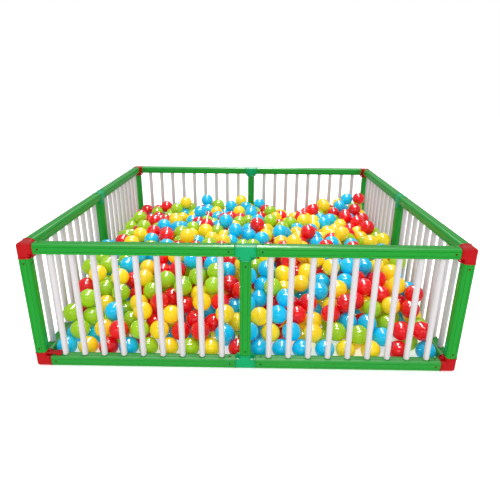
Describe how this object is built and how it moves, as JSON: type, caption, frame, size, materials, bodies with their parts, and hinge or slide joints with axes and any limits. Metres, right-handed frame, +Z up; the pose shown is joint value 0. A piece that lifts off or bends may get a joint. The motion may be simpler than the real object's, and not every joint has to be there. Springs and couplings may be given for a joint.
{
  "type": "ball pit",
  "caption": "Square free-standing ball pit: a push-together frame of square plastic tube with barred sides, filled with loose plastic balls.",
  "frame": {"origin": "on the floor, at the middle of the square pit", "axes": "+Z up; +X to the right and +Y away from the side that is nearest in the picture, the front; X and Y run along the sides"},
  "size_m": [1.441, 1.441, 0.451],
  "materials": {
    "green_tube": "satin moulded plastic",
    "teal_tee": "satin moulded plastic",
    "red_connector": "satin moulded plastic",
    "white_bars": "smooth plastic tube",
    "red_ball": "glossy blown plastic",
    "yellow_ball": "glossy blown plastic",
    "lime_ball": "glossy blown plastic",
    "blue_ball": "glossy blown plastic"
  },
  "bodies": {
    "frame": {"top_rail_front_left": "green_tube", "top_rail_front_right": "green_tube", "top_rail_right_front": "green_tube", "top_rail_right_back": "green_tube", "top_rail_back_right": "green_tube", "top_rail_back_left": "green_tube", "top_rail_left_back": "green_tube", "top_rail_left_front": "green_tube", "barred_rail_front_left": "white_bars", "barred_rail_front_right": "white_bars", "barred_rail_right_front": "white_bars", "barred_rail_right_back": "white_bars", "barred_rail_back_right": "white_bars", "barred_rail_back_left": "white_bars", "barred_rail_left_back": "white_bars", "barred_rail_left_front": "white_bars", "corner_post_front_left": "green_tube", "corner_post_front_right": "green_tube", "corner_post_back_right": "green_tube", "corner_post_back_left": "green_tube", "middle_post_front": "green_tube", "middle_post_right": "green_tube", "middle_post_back": "green_tube", "middle_post_left": "green_tube", "top_corner_front_left": "red_connector", "top_corner_front_right": "red_connector", "top_corner_back_right": "red_connector", "top_corner_back_left": "red_connector", "bottom_corner_front_left": "red_connector", "bottom_corner_front_right": "red_connector", "bottom_corner_back_right": "red_connector", "bottom_corner_back_left": "red_connector", "top_tee_front": "teal_tee", "top_tee_right": "teal_tee", "top_tee_back": "teal_tee", "top_tee_left": "teal_tee", "bottom_tee_front": "teal_tee", "bottom_tee_right": "teal_tee", "bottom_tee_back": "teal_tee", "bottom_tee_left": "teal_tee"},
    "ball_heap": {"ball_bed": "blue_ball"},
    "ball_01": {"loose_ball_01": "lime_ball"},
    "ball_02": {"loose_ball_02": "blue_ball"},
    "ball_03": {"loose_ball_03": "blue_ball"},
    "ball_04": {"loose_ball_04": "red_ball"},
    "ball_05": {"loose_ball_05": "yellow_ball"},
    "ball_06": {"loose_ball_06": "red_ball"},
    "ball_07": {"loose_ball_07": "red_ball"},
    "ball_08": {"loose_ball_08": "yellow_ball"},
    "ball_09": {"loose_ball_09": "red_ball"},
    "ball_10": {"loose_ball_10": "yellow_ball"},
    "ball_11": {"loose_ball_11": "red_ball"},
    "ball_12": {"loose_ball_12": "blue_ball"},
    "ball_13": {"loose_ball_13": "yellow_ball"},
    "ball_14": {"loose_ball_14": "lime_ball"}
  },
  "joints": [
    {"name": "heap_lift", "type": "slide", "parent": "frame", "child": "ball_heap", "axis": [0, 0, 1], "range_m": [0, 0.45]},
    {"name": "lift_01", "type": "slide", "parent": "ball_heap", "child": "ball_01", "axis": [0, 0, 1], "range_m": [0, 0.3]},
    {"name": "lift_02", "type": "slide", "parent": "ball_heap", "child": "ball_02", "axis": [0, 0, 1], "range_m": [0, 0.3]},
    {"name": "lift_03", "type": "slide", "parent": "ball_heap", "child": "ball_03", "axis": [0, 0, 1], "range_m": [0, 0.3]},
    {"name": "lift_04", "type": "slide", "parent": "ball_heap", "child": "ball_04", "axis": [0, 0, 1], "range_m": [0, 0.3]},
    {"name": "lift_05", "type": "slide", "parent": "ball_heap", "child": "ball_05", "axis": [0, 0, 1], "range_m": [0, 0.3]},
    {"name": "lift_06", "type": "slide", "parent": "ball_heap", "child": "ball_06", "axis": [0, 0, 1], "range_m": [0, 0.3]},
    {"name": "lift_07", "type": "slide", "parent": "ball_heap", "child": "ball_07", "axis": [0, 0, 1], "range_m": [0, 0.3]},
    {"name": "lift_08", "type": "slide", "parent": "ball_heap", "child": "ball_08", "axis": [0, 0, 1], "range_m": [0, 0.3]},
    {"name": "lift_09", "type": "slide", "parent": "ball_heap", "child": "ball_09", "axis": [0, 0, 1], "range_m": [0, 0.3]},
    {"name": "lift_10", "type": "slide", "parent": "ball_heap", "child": "ball_10", "axis": [0, 0, 1], "range_m": [0, 0.3]},
    {"name": "lift_11", "type": "slide", "parent": "ball_heap", "child": "ball_11", "axis": [0, 0, 1], "range_m": [0, 0.3]},
    {"name": "lift_12", "type": "slide", "parent": "ball_heap", "child": "ball_12", "axis": [0, 0, 1], "range_m": [0, 0.3]},
    {"name": "lift_13", "type": "slide", "parent": "ball_heap", "child": "ball_13", "axis": [0, 0, 1], "range_m": [0, 0.3]},
    {"name": "lift_14", "type": "slide", "parent": "ball_heap", "child": "ball_14", "axis": [0, 0, 1], "range_m": [0, 0.3]}
  ]
}
